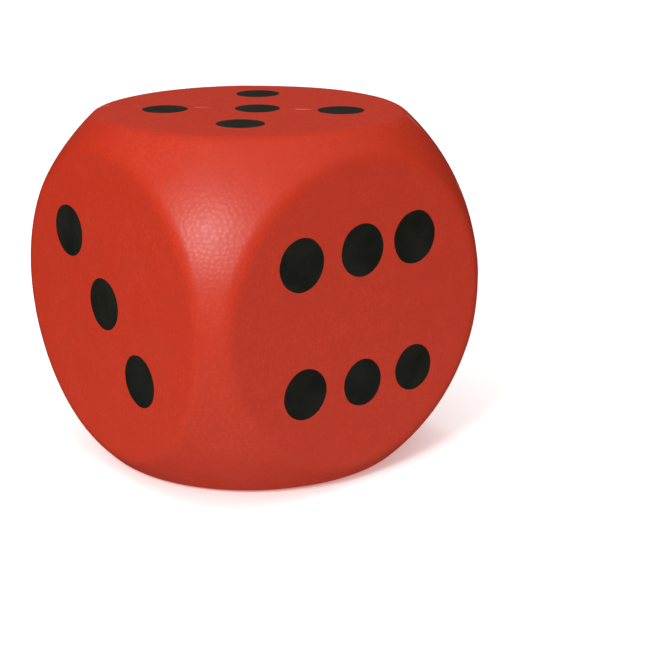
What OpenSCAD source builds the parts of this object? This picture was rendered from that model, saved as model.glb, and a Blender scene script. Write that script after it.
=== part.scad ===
// Giant soft play die: a block of flexible foam in an elastomer skin, with painted spots.
// The die stands on its face two. The origin is the middle of that face, at floor level,
// +Z is up through face five, -Y is face six and -X is face three.

/* [Body] */
// Distance between two opposite flat faces
die_w = 300; // [150:5:400]
// Diameter of the ball that rounds the edges and corners, as a share of die_w
ball_ratio = 1.33; // [1.25:0.01:1.38]
// Radius that blends each flat face into the ball
blend_r = 18; // [8:1:25]

/* [Skin] */
// Thickness of the elastomer skin
skin_t = 1.2; // [0.8:0.1:3]
// Turn of the plane where the two halves of the skin meet, about the vertical axis
parting_turn = 45; // [40:1:50]

/* [Spots] */
// Diameter of a spot
spot_d = 43; // [20:1:45]
// Thickness of a spot's paint film, which lies flush in the skin
film_t = 0.4; // [0.2:0.1:0.6]
// Distance from the middle of a face to its corner spots, along each side of the face
spot_pitch = 57; // [45:1:58]

/* [Hidden] */
$fn = 96;
half_w = die_w / 2;
ball_r = half_w * ball_ratio;
// The blend ends this far outside the ball, so that the two surfaces cross cleanly
blend_bite = 0.1;
// How far the cutter of a flat face runs on past the end of its blend
cutter_margin = 1.5;
// Size of the block that takes one side of the parting plane
side_block = 2 * die_w;

// Spots are painted by hand through a stencil, so each one drifts a little.
// A face is [name, turn from facing up, spots]. A spot is [across, up, drift across,
// drift up, extra diameter], where across and up count spot pitches to the right and
// upwards from the middle of the face, as seen by someone looking at it.
FACES = [
    ["one", [90, 0, 180], [
        [0, 0, 1, -2, 0]
    ]],
    ["two", [180, 0, 0], [
        [-1, 1, 2, -1, -2],
        [1, -1, -3, 2, -1]
    ]],
    ["three", [90, 0, -90], [
        [-1, 1, 1, -2, 1],
        [0, 0, -4, 2, 1],
        [1, -1, -10, 5, 1]
    ]],
    ["four", [90, 0, 90], [
        [-1, 1, 1, -3, 0],
        [1, 1, 0, 2, 1],
        [-1, -1, -2, 1, -1],
        [1, -1, 2, 2, -2]
    ]],
    ["five", [0, 0, 0], [
        [-1, -1, 8, 3, -3],
        [1, 1, -5, 2, -4],
        [-1, 1, -2, -15, -4],
        [1, -1, -2, 1, -3],
        [0, 0, 5, -4, -4]
    ]],
    ["six", [90, 0, 0], [
        [-1, 1, -4, -4, 1],
        [0, 1, 1, -2, 1],
        [1, 1, 0, 0, 2],
        [-1, -1, -1, 2, 0],
        [0, -1, 2, -1, -3],
        [1, -1, 1, 0, -3]
    ]]
];
LETTERS = "abcdef";

function face_name(face) = face[0];
function face_turn(face) = face[1];
function face_spots(face) = face[2];
function spot_place(spot) = [spot[0] * spot_pitch + spot[2], spot[1] * spot_pitch + spot[3]];
function spot_size(spot) = spot_d + spot[4];
function spot_name(face, i) =
    len(face_spots(face)) == 1 ? str("spot_", face_name(face))
                               : str("spot_", face_name(face), "_", LETTERS[i]);

// Radius of the flat disc on a face whose blend runs smoothly on to the ball
function flat_r(half, ball, blend) = sqrt(pow(ball - blend, 2) - pow(half - blend, 2));

// Outline of what is cut off the ball to leave one flat face and its blend.
// X is the distance from the face's axis and Y is the height above the die's middle.
module cap_outline(half, ball, blend) {
    flat = flat_r(half, ball, blend);
    blend_mid = half - blend;
    lean = atan2(flat, blend_mid);
    blend_end = [flat + blend * sin(lean), blend_mid + blend * cos(lean)];
    cut_end = blend_end + cutter_margin * [1, -tan(lean)];
    difference() {
        translate([0, blend_mid]) square([cut_end.x, ball]);
        translate([0, blend_mid - blend]) square([flat, 2 * blend]);
        translate([flat, blend_mid]) circle(blend);
        polygon([
            [flat, blend_mid],
            blend_end,
            cut_end,
            [cut_end.x, blend_mid - blend],
            [flat, blend_mid - blend]
        ]);
    }
}

// A ball with six flat faces, centred on the origin
module rounded_cube(half, ball, blend) {
    difference() {
        sphere(ball - blend_bite);
        for (face = FACES)
            rotate(face_turn(face)) rotate_extrude() cap_outline(half, ball, blend);
    }
}

module outer_form() {
    rounded_cube(half_w, ball_r, blend_r);
}

module core_form() {
    rounded_cube(half_w - skin_t, ball_r - skin_t, blend_r - skin_t);
}

// One spot's film, in the frame of a die centred on the origin
module spot_film(face, spot) {
    place = spot_place(spot);
    rotate(face_turn(face))
        translate([place.x, place.y, half_w - film_t])
            cylinder(h = film_t, d = spot_size(spot));
}

// Everything on one side of the parting plane: side is 1 for the front, -1 for the rear
module parting_side(side) {
    rotate(parting_turn)
        translate([-side * side_block / 2, 0, 0]) cube(side_block, center = true);
}

// One half of the skin, with a shallow seat for each spot
module half_skin(side) {
    difference() {
        intersection() {
            outer_form();
            parting_side(side);
        }
        core_form();
        for (face = FACES)
            for (spot = face_spots(face)) spot_film(face, spot);
    }
}

module on_floor() {
    translate([0, 0, half_w]) children();
}

module foam_core() {
    color("khaki") on_floor() core_form();
}

module front_skin() {
    color("red") on_floor() half_skin(1);
}

module rear_skin() {
    color("red") on_floor() half_skin(-1);
}

module painted_spot(face, spot) {
    color([0.06, 0.06, 0.06]) on_floor() spot_film(face, spot);
}

foam_core();
front_skin();
rear_skin();
for (face = FACES)
    for (i = [0:len(face_spots(face)) - 1])
        painted_spot(face, face_spots(face)[i]);
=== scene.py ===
"""A giant soft play die on a pale floor: foam block, two halves of skin and painted spots.

Everything is in metres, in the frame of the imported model: the die stands on z = 0.
"""

import math

import bpy
import numpy as np
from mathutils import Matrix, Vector


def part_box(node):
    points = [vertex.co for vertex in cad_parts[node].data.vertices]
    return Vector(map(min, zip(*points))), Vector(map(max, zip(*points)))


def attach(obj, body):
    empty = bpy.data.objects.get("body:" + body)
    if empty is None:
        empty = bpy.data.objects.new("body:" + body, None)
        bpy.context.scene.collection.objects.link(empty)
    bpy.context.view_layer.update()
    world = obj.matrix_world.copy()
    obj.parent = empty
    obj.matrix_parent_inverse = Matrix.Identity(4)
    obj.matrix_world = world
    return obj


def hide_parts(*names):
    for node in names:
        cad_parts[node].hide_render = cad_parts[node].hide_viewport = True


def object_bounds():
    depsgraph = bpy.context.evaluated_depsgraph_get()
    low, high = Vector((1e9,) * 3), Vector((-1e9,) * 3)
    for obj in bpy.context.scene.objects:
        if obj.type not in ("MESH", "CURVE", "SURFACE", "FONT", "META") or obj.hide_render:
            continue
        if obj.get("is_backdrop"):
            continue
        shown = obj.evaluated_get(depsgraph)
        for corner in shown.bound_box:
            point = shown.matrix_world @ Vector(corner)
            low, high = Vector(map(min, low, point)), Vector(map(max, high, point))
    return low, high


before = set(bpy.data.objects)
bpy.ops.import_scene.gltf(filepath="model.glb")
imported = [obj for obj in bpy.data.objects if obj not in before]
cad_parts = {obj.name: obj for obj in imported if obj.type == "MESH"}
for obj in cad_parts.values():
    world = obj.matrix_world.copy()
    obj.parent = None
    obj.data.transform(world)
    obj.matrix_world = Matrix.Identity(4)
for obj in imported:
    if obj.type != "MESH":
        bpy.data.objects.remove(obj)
cad_low, cad_high = (np.array(corner, float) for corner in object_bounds())

# ---------------------------------------------------------------- sizes from the frame
MM = 0.001
centre = (cad_low + cad_high) / 2
half_width = float(cad_high[0] - cad_low[0]) / 2
core_low, core_high = (np.array(corner, float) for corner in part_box("foam_core"))
skin_thickness = half_width - float(core_high[0] - core_low[0]) / 2


def farthest_point(node_name):
    """Distance from the die's middle to the farthest point of a CAD node."""
    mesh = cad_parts[node_name].data
    points = np.empty(len(mesh.vertices) * 3)
    mesh.vertices.foreach_get("co", points)
    return float(np.linalg.norm(points.reshape(-1, 3) - centre, axis=1).max())


def spot_facts(node_name):
    """Middle, outward normal and radius of a spot, from its CAD node's box."""
    low, high = (np.array(corner, float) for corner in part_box(node_name))
    middle, size = (low + high) / 2, high - low
    axis = int(size.argmin())
    normal = np.zeros(3)
    normal[axis] = math.copysign(1, middle[axis] - centre[axis])
    middle[axis] = centre[axis] + normal[axis] * half_width
    return {"middle": middle, "normal": normal, "radius": float(size.max()) / 2}


spots = {name: spot_facts(name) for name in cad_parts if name.startswith("spot_")}

# ---------------------------------------------------------------- the form of the die
# A ball cut by six flats. A round blend joins each flat to the ball.
BLEND_SHARE = 0.12  # the blend's radius, as a share of half the die's width
ball_radius = farthest_point("front_skin")
blend_radius = BLEND_SHARE * half_width
blend_height = half_width - blend_radius  # from the die's middle up to the blend's own middle
blend_reach = ball_radius - blend_radius  # the same, in a straight line
flat_radius = math.sqrt(blend_reach**2 - blend_height**2)

# The parting plane holds the Z axis and runs from corner to corner of the top face.
# ACROSS points out of it, to the front half. ALONG and UP lie in it.
ACROSS = np.array([-1.0, -1.0, 0.0]) / math.sqrt(2)
ALONG = np.array([-1.0, 1.0, 0.0]) / math.sqrt(2)
UP = np.array([0.0, 0.0, 1.0])
TINY = 1e-9  # metres, so that the middle of a flat isn't divided by nothing


def form_radius(directions, inset=0.0):
    """How far the die's surface, or one inset from it, is along each unit direction."""
    half, blend = half_width - inset, blend_radius - inset
    cos = np.abs(directions).max(axis=1)
    sin = np.sqrt(np.maximum(1 - cos**2, 0))
    radius = np.full(len(directions), ball_radius - inset)
    towards = flat_radius * sin + blend_height * cos
    arc = towards + np.sqrt(np.maximum(towards**2 - blend_reach**2 + blend**2, 0))
    on_arc = sin * blend_height < flat_radius * cos
    radius[on_arc] = arc[on_arc]
    on_flat = sin * half < flat_radius * cos
    radius[on_flat] = half / cos[on_flat]
    return radius


def surface_normals(directions):
    """Outward normals of the die's form along each unit direction."""
    main = np.abs(directions).argmax(axis=1)
    rows = np.arange(len(directions))
    axis = np.zeros_like(directions)
    axis[rows, main] = np.sign(directions[rows, main])
    points = directions * form_radius(directions)[:, None]
    height = (points * axis).sum(axis=1, keepdims=True)
    outward = points - height * axis
    distance = np.linalg.norm(outward, axis=1, keepdims=True)
    outward /= np.maximum(distance, TINY)
    in_blend = (distance - flat_radius) * outward + (height - blend_height) * axis
    normals = np.where(distance <= flat_radius, axis, in_blend)
    past_blend = distance * blend_height >= height * flat_radius
    normals = np.where(past_blend, directions, normals)
    return normals / np.linalg.norm(normals, axis=1, keepdims=True)


# ---------------------------------------------------------------- relief of the skin
relief_draws = np.random.default_rng(12)


def make_waves(count, longest, shortest):
    """Plane waves in random directions, as rows of wave vector, phase and weight."""
    heading = relief_draws.normal(size=(count, 3))
    heading /= np.linalg.norm(heading, axis=1, keepdims=True)
    length = np.geomspace(longest, shortest, count)
    phase = relief_draws.uniform(0, 2 * math.pi, count)
    weight = np.sqrt(length / longest)
    return np.column_stack([heading * (2 * math.pi / length)[:, None], phase, weight])


def wave_sum(waves, points):
    """The waves' sum at each point, scaled to a usual height of 1."""
    total = np.sin(points @ waves[:, :3].T + waves[:, 3]) @ waves[:, 4]
    return total / math.sqrt((waves[:, 4] ** 2).sum() / 2)


# Slow unevenness of moulded foam, and where the parting ridge is worn or trimmed
SWELLS = make_waves(count=28, longest=160 * MM, shortest=30 * MM)
RIDGE_BREAKS = make_waves(count=14, longest=70 * MM, shortest=9 * MM)

SINK = 0.35 * MM  # mean depth of the surface below the CAD's, room for the relief
SWELL = 0.08 * MM
MOST_SWELL = 3  # the tallest swell, in times SWELL
RIDGE_HEIGHT = 0.3 * MM
RIDGE_WIDTH = 0.9 * MM
RIDGE_GONE = -1.2  # sum of the breaks' waves at which the ridge is worn away
RIDGE_WHOLE = 1.0  # and at which it has its full height
RIDGE_CLEARS = 2 * MM  # the ridge fades out this far outside a spot


def smooth_step(low, high, value):
    """0 up to low and 1 from high on, with a smooth rise between them."""
    share = np.clip((value - low) / (high - low), 0, 1)
    return share * share * (3 - 2 * share)


def relief(points):
    """Height of the real skin over the CAD's surface at each point: never above zero."""
    across = (points - centre) @ ACROSS
    ridge = np.exp(-((across / RIDGE_WIDTH) ** 2))
    ridge *= smooth_step(RIDGE_GONE, RIDGE_WHOLE, wave_sum(RIDGE_BREAKS, points))
    for spot in spots.values():
        gap = np.linalg.norm(points - spot["middle"], axis=1) - spot["radius"]
        ridge *= smooth_step(0, RIDGE_CLEARS, gap)
    swell = np.clip(wave_sum(SWELLS, points), -MOST_SWELL, MOST_SWELL)
    return np.minimum(RIDGE_HEIGHT * ridge + SWELL * swell - SINK, 0)


# ---------------------------------------------------------------- grids over the ball
SKIN_GRID = 118  # cells along one side of a patch of the skin
CORE_GRID = 48  # the same for the foam block, which is smooth
SAME_POINT_DIGITS = 7  # directions that agree to this many decimals are one point

# Grid lines beside the parting plane, to carry its ridge, by their distance from the plane
RIDGE_LINES = np.array([0.0, 0.5, 1.0, 1.6, 2.4, 3.4]) * MM


def patch(normal, right, up, across_angles, up_angles):
    """Unit directions over a patch of the ball, and its quads, which face outwards."""
    across, upward = np.meshgrid(np.tan(across_angles), np.tan(up_angles), indexing="ij")
    directions = normal + across[..., None] * right + upward[..., None] * up
    directions = directions.reshape(-1, 3)
    directions /= np.linalg.norm(directions, axis=1, keepdims=True)
    columns = len(up_angles)
    corner = (np.arange(len(across_angles) - 1)[:, None] * columns
              + np.arange(columns - 1)).ravel()
    quads = np.column_stack([corner, corner + columns, corner + columns + 1, corner + 1])
    if np.dot(np.cross(right, up), normal) < 0:
        quads = quads[:, ::-1]
    return directions, quads


def weld(grids):
    """One grid made of several, with the points that they share merged."""
    starts = np.cumsum([0] + [len(directions) for directions, _ in grids[:-1]])
    directions = np.concatenate([directions for directions, _ in grids])
    quads = np.concatenate([quads + start for (_, quads), start in zip(grids, starts)])
    _, first, same = np.unique(np.round(directions, SAME_POINT_DIGITS), axis=0,
                               return_index=True, return_inverse=True)
    return directions[first], same.reshape(-1)[quads]


def half_ball(side, cells):
    """Directions and quads of the half of the ball on one side of the parting plane."""
    front = side * ACROSS
    whole = np.linspace(-math.pi / 4, math.pi / 4, cells + 1)
    plane_lines = np.arctan(RIDGE_LINES / half_width)
    far_lines = np.linspace(plane_lines[-1], math.pi / 4, cells // 2)
    near_plane = np.concatenate([plane_lines, far_lines[1:]])
    return weld([
        patch(front, ALONG, UP, whole, whole),
        patch(UP, front, ALONG, near_plane, whole),
        patch(-UP, front, ALONG, near_plane, whole),
        patch(ALONG, front, UP, near_plane, whole),
        patch(-ALONG, front, UP, near_plane, whole),
    ])


def open_edges(quads):
    """The directed edges that only one quad has, which are the rim."""
    edges = np.concatenate([quads[:, [i, (i + 1) % 4]] for i in range(4)])
    keys = np.sort(edges, axis=1)
    _, index, count = np.unique(keys, axis=0, return_inverse=True, return_counts=True)
    return edges[count[index.reshape(-1)] == 1]


# ---------------------------------------------------------------- pieces of the die
SHARP_EDGE = math.radians(40)


def new_piece(name, points, faces):
    """A mesh object with smooth shading, but for its sharp edges."""
    mesh = bpy.data.meshes.new(name)
    mesh.from_pydata(points.tolist(), [], faces)
    mesh.validate()
    mesh.update()
    mesh.shade_smooth()
    mesh.set_sharp_from_angle(angle=SHARP_EDGE)
    piece = bpy.data.objects.new(name, mesh)
    bpy.context.scene.collection.objects.link(piece)
    return piece


def skin_half(name, side):
    """One half of the skin, as a closed shell with its own inner face and rim."""
    directions, quads = half_ball(side, SKIN_GRID)
    outer = centre + directions * form_radius(directions)[:, None]
    outer += surface_normals(directions) * relief(outer)[:, None]
    inner = centre + directions * form_radius(directions, skin_thickness)[:, None]
    count = len(directions)
    rim = open_edges(quads)
    rim_quads = np.column_stack([rim[:, 1], rim[:, 0], rim[:, 0] + count, rim[:, 1] + count])
    faces = np.concatenate([quads, quads[:, ::-1] + count, rim_quads])
    return new_piece(name, np.concatenate([outer, inner]), faces.tolist())


FOAM_CLEARANCE = 0.05 * MM


def foam_block(name):
    """The block of foam, a hair smaller than the inside of the skin."""
    directions, quads = weld([half_ball(side, CORE_GRID) for side in (1, -1)])
    inset = skin_thickness + FOAM_CLEARANCE
    points = centre + directions * form_radius(directions, inset)[:, None]
    return new_piece(name, points, quads.tolist())


FILM_LIFT = 0.07 * MM  # paint above the skin
FILM_ROOT = 0.12 * MM  # paint soaked into the skin
SPOT_RINGS = 16  # rings over the level part of the paint, with its middle counted as one
SPOT_SIDES = 96
EDGE_ROLL = 0.5 * MM  # width over which the paint thins out to its edge
MID_ROLL = 0.4  # a ring this share of the roll in from the edge
MID_ROLL_LIFT = 0.8  # has this share of the paint's height
STENCIL_WANDER = 0.22 * MM  # how far a wave of the edge strays, times its count
STENCIL_COUNTS = range(2, 10)  # how often each of those waves repeats round the spot
MOST_PHASE = 6.3  # radians, a full turn


def uneven_edge(radius, turn, draws):
    """Distance of a stencilled edge from the spot's middle at each angle of turn."""
    return radius + sum(
        draws.normal(0, STENCIL_WANDER / count) * np.cos(count * turn + draws.uniform(0, MOST_PHASE))
        for count in STENCIL_COUNTS)


def painted_spot(name, facts, draws):
    """A film of paint that follows the skin, with the slightly uneven edge of a stencil."""
    middle, normal = facts["middle"], facts["normal"]
    right = np.array([-normal[1], normal[0], 0.0]) if normal[2] == 0 else np.array([1.0, 0, 0])
    up = np.cross(normal, right)
    turn = np.arange(SPOT_SIDES) * 2 * math.pi / SPOT_SIDES
    outward = np.cos(turn)[:, None] * right + np.sin(turn)[:, None] * up

    # Rings of points: over the level part, over the roll, and down to the root of the film
    edge = uneven_edge(facts["radius"], turn, draws)
    level_shares = np.linspace(0, 1, SPOT_RINGS)[1:]
    rows = [((edge - EDGE_ROLL) * share, FILM_LIFT) for share in level_shares]
    rows += [(edge - EDGE_ROLL * MID_ROLL, FILM_LIFT * MID_ROLL_LIFT),
             (edge, 0.0), (edge, -FILM_ROOT)]
    rings = [middle + outward * reach[:, None] for reach, _ in rows]
    points = np.concatenate([middle[None, :], *rings, middle[None, :]])
    lifts = [FILM_LIFT, *np.repeat([lift for _, lift in rows], SPOT_SIDES), -FILM_ROOT]
    placed = points + (relief(points) + lifts)[:, None] * normal

    sides = [(side, (side + 1) % SPOT_SIDES) for side in range(SPOT_SIDES)]
    starts = [1 + row * SPOT_SIDES for row in range(len(rows))]
    faces = [(0, 1 + a, 1 + b) for a, b in sides]
    for start, after in zip(starts, starts[1:]):
        faces += [(start + a, after + a, after + b, start + b) for a, b in sides]
    bottom = len(placed) - 1
    faces += [(bottom, starts[-1] + b, starts[-1] + a) for a, b in sides]
    return new_piece(name, placed, faces)


# ---------------------------------------------------------------- shader nodes
class Nodes:
    """Short ways to add and link shader nodes, in a material or in the world."""

    def __init__(self, owner, shader):
        owner.use_nodes = True
        self.owner = owner
        self.tree = owner.node_tree
        self.shader = self.tree.nodes[shader]

    def feed(self, socket, value):
        """Links another node's output to a socket, or fills in the socket's own value."""
        if isinstance(value, bpy.types.NodeSocket):
            self.tree.links.new(value, socket)
        else:
            socket.default_value = value

    def set(self, **values):
        """Feeds the shader's own sockets, by name with underscores for spaces."""
        for key, value in values.items():
            self.feed(self.shader.inputs[key.replace("_", " ")], value)

    def add(self, kind, inputs=None, **settings):
        node = self.tree.nodes.new(kind)
        for key, value in settings.items():
            setattr(node, key, value)
        for key, value in (inputs or {}).items():
            self.feed(node.inputs[key], value)
        return node

    def place(self):
        return self.add("ShaderNodeTexCoord").outputs["Object"]

    def math(self, operation, *values):
        node = self.add("ShaderNodeMath", operation=operation)
        for socket, value in zip(node.inputs, values):
            self.feed(socket, value)
        return node.outputs[0]

    def noise(self, place, scale, detail=2.0, roughness=0.5):
        node = self.add("ShaderNodeTexNoise",
                        {"Vector": place, "Scale": scale, "Detail": detail,
                         "Roughness": roughness})
        return node.outputs["Fac"]

    def remap(self, value, span, target):
        """Carries a span of values over to a target span, and stops at its ends."""
        node = self.add("ShaderNodeMapRange",
                        {"Value": value, "From Min": span[0], "From Max": span[1],
                         "To Min": target[0], "To Max": target[1]})
        return node.outputs["Result"]

    def mix(self, share, first, second):
        """A colour between two others: the first at share 0, the second at share 1."""
        node = self.add("ShaderNodeMix", {"Factor": share}, data_type="RGBA")
        colours = [socket for socket in node.inputs if socket.type == "RGBA"]
        for socket, colour in zip(colours, (first, second)):
            self.feed(socket, colour)
        return next(socket for socket in node.outputs if socket.type == "RGBA")

    def blend(self, first, first_share, second, second_share):
        """The sum of two values, each times its share."""
        return self.math("ADD", self.math("MULTIPLY", first, first_share),
                         self.math("MULTIPLY", second, second_share))

    def bump(self, height, strength, distance):
        node = self.add("ShaderNodeBump",
                        {"Height": height, "Strength": strength, "Distance": distance})
        return node.outputs["Normal"]


def material_nodes(name):
    return Nodes(bpy.data.materials.new(name), "Principled BSDF")


# ---------------------------------------------------------------- materials
GRAIN_PITCH = 3.7 * MM
GRAIN_DRIFT = 3 * MM  # the most that a slow noise moves the grain sideways
RIDGE_HIGHLIGHT_CORE = 0.5 * MM  # painted highlight: the ridge is pale to this far from the parting plane and its own colour again from here
RIDGE_HIGHLIGHT_END = 1.7 * MM  # and its own colour again from here

RED = (0.528, 0.0265, 0.003, 1)
RED_WORN = (0.538, 0.035, 0.007, 1)
# deep red of the clouds, also used as painted shade in the grain's creases
RED_DEEP_AND_CREASE_SHADE = (0.466, 0.0205, 0.0015, 1)
# pale pink of the painted highlight on the parting ridge
RED_RIDGE_HIGHLIGHT = (0.68, 0.20, 0.15, 1)
PAINT_DARK = (0.008, 0.009, 0.006, 1)
PAINT_LIGHT = (0.012, 0.013, 0.009, 1)
# dark yellow of the painted shade in the foam's cell hollows
FOAM_PORE_SHADE = (0.55, 0.44, 0.22, 1)
FOAM_WALL = (0.82, 0.72, 0.45, 1)
FLOOR_DULL = (0.955, 0.95, 0.945, 1)
FLOOR_PALE = (0.975, 0.97, 0.965, 1)
WHITE = (1, 1, 1, 1)
BLACK = (0, 0, 0, 1)
SKY_WHITE = (1, 0.985, 0.98, 1)

FLOOR_GLOW = 0.2  # brings the floor up to the white of a cut-out
WALL_GLOW = 1.0


def leather_grain(nodes, place):
    """Height of the mould's leathery grain: soft pebbles with creases between them."""
    drift = nodes.add("ShaderNodeTexNoise", {"Vector": place, "Scale": 60.0, "Detail": 1.0})
    bent = nodes.add("ShaderNodeVectorMath", {0: drift.outputs["Color"], 1: (GRAIN_DRIFT,) * 3},
                     operation="MULTIPLY")
    moved = nodes.add("ShaderNodeVectorMath", {0: place, 1: bent.outputs[0]}, operation="ADD")
    pebbles = nodes.add("ShaderNodeTexVoronoi",
                        {"Vector": moved.outputs[0], "Scale": 1 / GRAIN_PITCH,
                         "Randomness": 0.6, "Smoothness": 0.3},
                        feature="SMOOTH_F1")
    pebble = nodes.remap(pebbles.outputs["Distance"], (0.05, 0.75), (1.0, 0.0))
    fine = nodes.noise(place, scale=900.0)
    return nodes.blend(pebble, 0.85, fine, 0.15)


def skin_material():
    nodes = material_nodes("red_grained_skin")
    place = nodes.place()
    grain = leather_grain(nodes, place)

    # Deeper and lighter red in clouds, painted shade in the grain's creases in the same deep red,
    # and rubbed patches
    patches = nodes.noise(place, scale=11.0, detail=3.0, roughness=0.55)
    mottle = nodes.noise(place, scale=70.0, detail=4.0, roughness=0.7)
    cloud = nodes.blend(patches, 0.4, mottle, 0.6)
    base = nodes.mix(nodes.remap(cloud, (0.38, 0.62), (0.0, 1.0)), RED_DEEP_AND_CREASE_SHADE, RED)
    # Painted shade: the grain's creases are darkened to the deep red
    base = nodes.mix(nodes.remap(grain, (0.25, 0.65), (1.0, 0.0)), base, RED_DEEP_AND_CREASE_SHADE)
    rubbed = nodes.noise(place, scale=26.0, detail=4.0, roughness=0.6)
    base = nodes.mix(nodes.remap(rubbed, (0.60, 0.78), (0.0, 0.35)), base, RED_WORN)

    # Painted highlight: pale dashes along the parting ridge
    across = nodes.add("ShaderNodeVectorMath", {0: place, 1: tuple(ACROSS)},
                       operation="DOT_PRODUCT").outputs["Value"]
    on_ridge = nodes.remap(nodes.math("ABSOLUTE", across), (RIDGE_HIGHLIGHT_CORE, RIDGE_HIGHLIGHT_END), (1.0, 0.0))
    ridge_highlight_dashes = nodes.remap(nodes.noise(place, scale=53.0), (0.54, 0.65), (0.0, 0.9))
    base = nodes.mix(nodes.math("MULTIPLY", on_ridge, ridge_highlight_dashes), base, RED_RIDGE_HIGHLIGHT)

    rough = nodes.remap(nodes.noise(place, scale=34.0, detail=3.0), (0.3, 0.7), (0.37, 0.42))
    rough = nodes.math("ADD", rough, nodes.remap(grain, (0.2, 0.8), (0.06, 0.0)))
    nodes.set(Base_Color=base, Roughness=rough,
              Normal=nodes.bump(grain, strength=1.0, distance=0.108 * MM),
              Specular_IOR_Level=0.48, IOR=1.5)
    return nodes.owner


def spot_material():
    nodes = material_nodes("black_spot_paint")
    place = nodes.place()
    grain = leather_grain(nodes, place)
    cloud = nodes.noise(place, scale=45.0, detail=3.0)
    base = nodes.mix(nodes.remap(cloud, (0.35, 0.65), (0.0, 1.0)), PAINT_DARK, PAINT_LIGHT)
    nodes.set(Base_Color=base, Roughness=nodes.remap(cloud, (0.3, 0.7), (0.48, 0.56)),
              Normal=nodes.bump(grain, strength=0.5, distance=0.4 * MM),
              Specular_IOR_Level=0.4, IOR=1.5)
    return nodes.owner


def foam_material():
    nodes = material_nodes("open_cell_foam")
    cells = nodes.add("ShaderNodeTexVoronoi", {"Vector": nodes.place(), "Scale": 900.0},
                      feature="DISTANCE_TO_EDGE")
    # Painted shade: the cells' hollows are darker than their walls
    walls = nodes.remap(cells.outputs["Distance"], (0.0, 0.35), (1.0, 0.0))
    nodes.set(Base_Color=nodes.mix(walls, FOAM_PORE_SHADE, FOAM_WALL), Roughness=0.92,
              Normal=nodes.bump(walls, strength=0.7, distance=0.4 * MM))
    return nodes.owner


def floor_material():
    nodes = material_nodes("pale_floor")
    cloud = nodes.noise(nodes.place(), scale=3.0, detail=3.0)
    nodes.set(Base_Color=nodes.mix(cloud, FLOOR_DULL, FLOOR_PALE), Roughness=0.8,
              Specular_IOR_Level=0.0, Emission_Color=WHITE, Emission_Strength=FLOOR_GLOW)
    return nodes.owner


def glowing_material(name, strength):
    """A white glow, which reflects nothing."""
    nodes = material_nodes(name)
    nodes.set(Base_Color=BLACK, Roughness=1.0, Specular_IOR_Level=0.0,
              Emission_Color=WHITE, Emission_Strength=strength)
    return nodes.owner


# ---------------------------------------------------------------- the die
red_skin = skin_material()
spot_paint = spot_material()

for node_name, side in (("front_skin", 1), ("rear_skin", -1)):
    piece = skin_half(node_name + "_shell", side)
    piece.data.materials.append(red_skin)
    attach(piece, "root")
    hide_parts(node_name)

spot_draws = np.random.default_rng(5)
for node_name, facts in sorted(spots.items()):
    piece = painted_spot(node_name + "_paint", facts, spot_draws)
    piece.data.materials.append(spot_paint)
    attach(piece, "root")
    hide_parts(node_name)

block = foam_block("foam_block")
block.data.materials.append(foam_material())
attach(block, "root")
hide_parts("foam_core")

# ---------------------------------------------------------------- camera
CAMERA_TURN = math.radians(36.05)  # from straight in front of face six, towards face three
CAMERA_TILT = math.radians(15.98)  # down from level
CAMERA_DISTANCE = 8.954 * half_width
CAMERA_LENS = 83.7  # mm, on a sensor SENSOR_WIDTH wide
SENSOR_WIDTH = 36  # mm
AIM_RIGHT = 0.4257 * half_width
AIM_DOWN = 0.2948 * half_width

backwards = Vector((-math.sin(CAMERA_TURN) * math.cos(CAMERA_TILT),
                    -math.cos(CAMERA_TURN) * math.cos(CAMERA_TILT),
                    math.sin(CAMERA_TILT)))
view_right = (-backwards).cross(Vector((0, 0, 1))).normalized()
view_up = view_right.cross(-backwards)


def aim(thing, target):
    """Points an object's -Z at a target, with +Y up."""
    thing.rotation_euler = (target - thing.location).to_track_quat("-Z", "Y").to_euler()


camera = bpy.data.objects.new("camera", bpy.data.cameras.new("camera"))
camera.data.lens = CAMERA_LENS
camera.data.sensor_width = SENSOR_WIDTH
camera.location = Vector(centre) + CAMERA_DISTANCE * backwards
aim(camera, Vector(centre) + AIM_RIGHT * view_right - AIM_DOWN * view_up)
bpy.context.scene.collection.objects.link(camera)
bpy.context.scene.camera = camera


# ---------------------------------------------------------------- lights
def area_light(name, direction, distance, size, power):
    """A round light that the camera doesn't see, aimed at the die's middle."""
    data = bpy.data.lights.new(name, "AREA")
    data.shape = "DISK"
    data.size = size
    data.energy = power
    light = bpy.data.objects.new(name, data)
    light.location = Vector(centre) + distance * direction.normalized()
    light.visible_camera = False
    aim(light, Vector(centre))
    bpy.context.scene.collection.objects.link(light)
    return light


# The key light stands to the left of the line from the die to the camera, and above it:
# its direction, as shares of the camera's own directions
KEY_LEFT = 0.339
KEY_UP = 0.318
KEY_BACK = 0.885
key_direction = -KEY_LEFT * view_right + KEY_UP * view_up + KEY_BACK * backwards
area_light("key", key_direction, distance=2.6, size=0.7, power=40)

# A dim white backdrop past the die, which shows only as a sheen on what faces away
backdrop_direction = Vector((-backwards.x, -backwards.y, backwards.z))
backdrop = area_light("backdrop", backdrop_direction, distance=3.0, size=3.0, power=1.7)
backdrop.visible_diffuse = False

# The room is brightest overhead, and it shows in the die's colour but not in its gloss
SKY_GLOW = 1.42  # strength straight overhead
SKY_FADE = 2.0  # power with which that fades, from 1 overhead to 0 straight below
GROUND_GLOW = 0.85  # light from below, in place of what the floor would throw back


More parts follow.
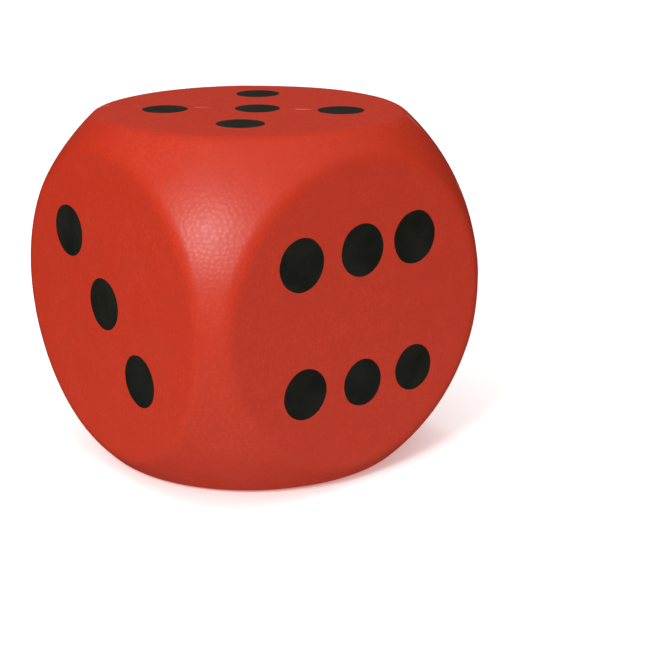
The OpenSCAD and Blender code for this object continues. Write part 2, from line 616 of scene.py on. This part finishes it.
def room_light():
    """A world that glows by height, and by an even amount below the horizon."""
    world = bpy.data.worlds.new("studio")
    nodes = Nodes(world, "Background")
    way = nodes.add("ShaderNodeTexCoord").outputs["Generated"]
    height = nodes.add("ShaderNodeSeparateXYZ", {"Vector": way}).outputs["Z"]
    climb = nodes.math("MULTIPLY_ADD", height, 0.5, 0.5)
    sky = nodes.math("MULTIPLY", nodes.math("POWER", climb, SKY_FADE), SKY_GLOW)
    below = nodes.math("LESS_THAN", height, 0.0)
    strength = nodes.add("ShaderNodeMix", {"Factor": below, "A": sky, "B": GROUND_GLOW},
                         data_type="FLOAT")
    nodes.set(Color=SKY_WHITE, Strength=strength.outputs["Result"])
    world.cycles_visibility.glossy = False
    return world


bpy.context.scene.world = room_light()


# ---------------------------------------------------------------- floor, light sheet and wall
def ring(sides, reach, height):
    """Points round the Z axis, at one height."""
    turn = np.arange(sides) * 2 * math.pi / sides
    return [(reach * math.cos(t), reach * math.sin(t), height) for t in turn]


def studio_mesh(name, points, faces, material, unseen_by):
    """A mesh object that some kinds of ray pass through."""
    mesh = bpy.data.meshes.new(name)
    mesh.from_pydata(points, [], faces)
    mesh.materials.append(material)
    thing = bpy.data.objects.new(name, mesh)
    bpy.context.scene.collection.objects.link(thing)
    for ray in unseen_by:
        setattr(thing, "visible_" + ray, False)
    return thing


FLOOR_REACH = 25.0
floor_corners = [(x * FLOOR_REACH, y * FLOOR_REACH, 0.0)
                 for x, y in ((-1, -1), (1, -1), (1, 1), (-1, 1))]
floor = studio_mesh("floor", floor_corners, [(0, 1, 2, 3)], floor_material(),
                    unseen_by=("glossy", "diffuse"))
floor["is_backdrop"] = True

# A sheet of light just under the floor, which lights the lower part of the die from close by.
# Only the die's diffuse rays pass through the floor to it, so it isn't sampled as a lamp.
SHEET_REACH = 0.5
SHEET_DEPTH = 1 * MM
SHEET_SIDES = 64
SHEET_GLOW = 1.13
sheet_glow = glowing_material("light_sheet", SHEET_GLOW)
sheet_glow.cycles.emission_sampling = "NONE"
sheet = studio_mesh("light_sheet", ring(SHEET_SIDES, SHEET_REACH, -SHEET_DEPTH),
                    [tuple(range(SHEET_SIDES))], sheet_glow,
                    unseen_by=("camera", "glossy", "transmission", "volume_scatter", "shadow"))
sheet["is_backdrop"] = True

# A white wall round the floor, which only the camera sees
WALL_REACH = 24.0
WALL_TOP = 14.0
WALL_SIDES = 96
wall_points = ring(WALL_SIDES, WALL_REACH, 0.0) + ring(WALL_SIDES, WALL_REACH, WALL_TOP)
wall_faces = [(a, b, WALL_SIDES + b, WALL_SIDES + a)
              for a, b in ((side, (side + 1) % WALL_SIDES) for side in range(WALL_SIDES))]
wall_glow = glowing_material("pale_wall", WALL_GLOW)
wall = studio_mesh("wall", wall_points, wall_faces, wall_glow,
                   unseen_by=("diffuse", "glossy", "transmission", "volume_scatter", "shadow"))
wall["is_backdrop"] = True

bpy.context.scene.view_settings.view_transform = "Standard"
bpy.context.scene.view_settings.look = "None"

# ---------------------------------------------------------------- the scene brought up to date
bpy.context.view_layer.update()
